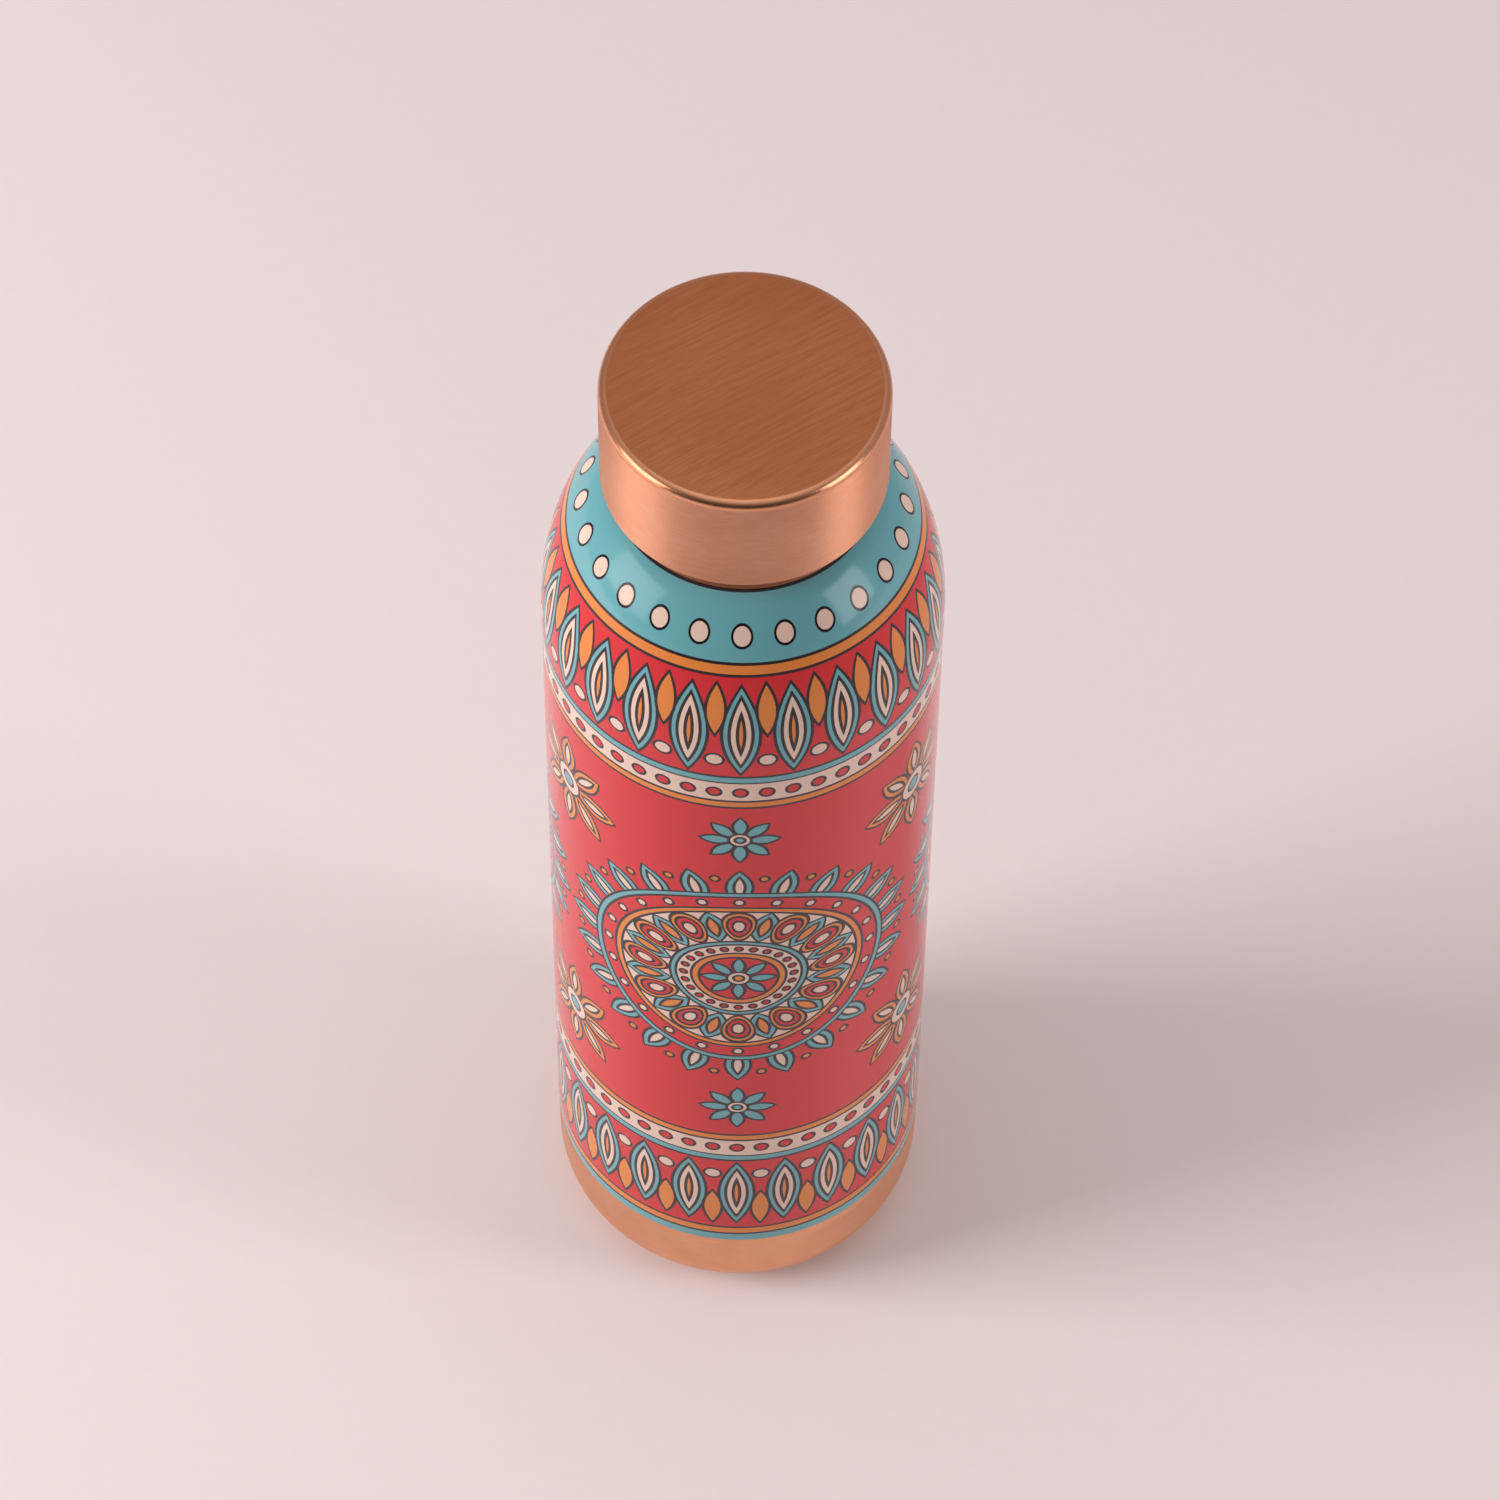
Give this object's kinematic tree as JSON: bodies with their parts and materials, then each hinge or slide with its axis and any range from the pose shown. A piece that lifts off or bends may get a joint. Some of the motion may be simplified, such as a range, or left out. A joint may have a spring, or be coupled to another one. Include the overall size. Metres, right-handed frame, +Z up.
{
  "type": "screw-cap water bottle",
  "caption": "Slim round copper bottle with a printed pattern film, a bare base and a bare screw cap that seals on a threaded neck.",
  "frame": {"origin": "centre of the base, on the surface that the bottle stands on", "axes": "+Z up along the bottle's axis, -Y towards the middle of the front pattern"},
  "size_m": [0.073, 0.073, 0.262],
  "materials": {
    "copper_body": "copper, drawn, satin inside",
    "copper_base": "copper, brushed round the axis and lacquered",
    "copper_neck": "copper, turned",
    "copper_cap": "copper, satin brushed, straight grain on the top",
    "copper_disc": "copper, spun",
    "filler": "brazing filler, satin",
    "printed_film": null,
    "silicone": "translucent white silicone, matte"
  },
  "bodies": {
    "bottle": {"body_shell": "copper_body", "base_cup": "copper_base", "base_braze": "filler", "neck_ring": "copper_neck", "neck_braze": "filler", "print_film": "printed_film"},
    "cap_seal": {"cap_disc": "copper_disc", "gasket": "silicone"},
    "cap": {"cap_shell": "copper_cap", "cap_thread_sleeve": "copper_neck", "cap_braze": "filler"}
  },
  "joints": [
    {"name": "cap_lift", "type": "slide", "parent": "bottle", "child": "cap_seal", "axis": [0, 0, 1], "range_m": [0, 0.0241]},
    {"name": "cap_turn", "type": "hinge", "parent": "cap_seal", "child": "cap", "pos_m": [0, 0, 0.25], "axis": [0, 0, 1], "range_deg": [0, 2160]}
  ],
  "couplings": [
    {"joint": "cap_lift", "follows": "cap_turn", "m_per_rad": 0.00063662}
  ]
}
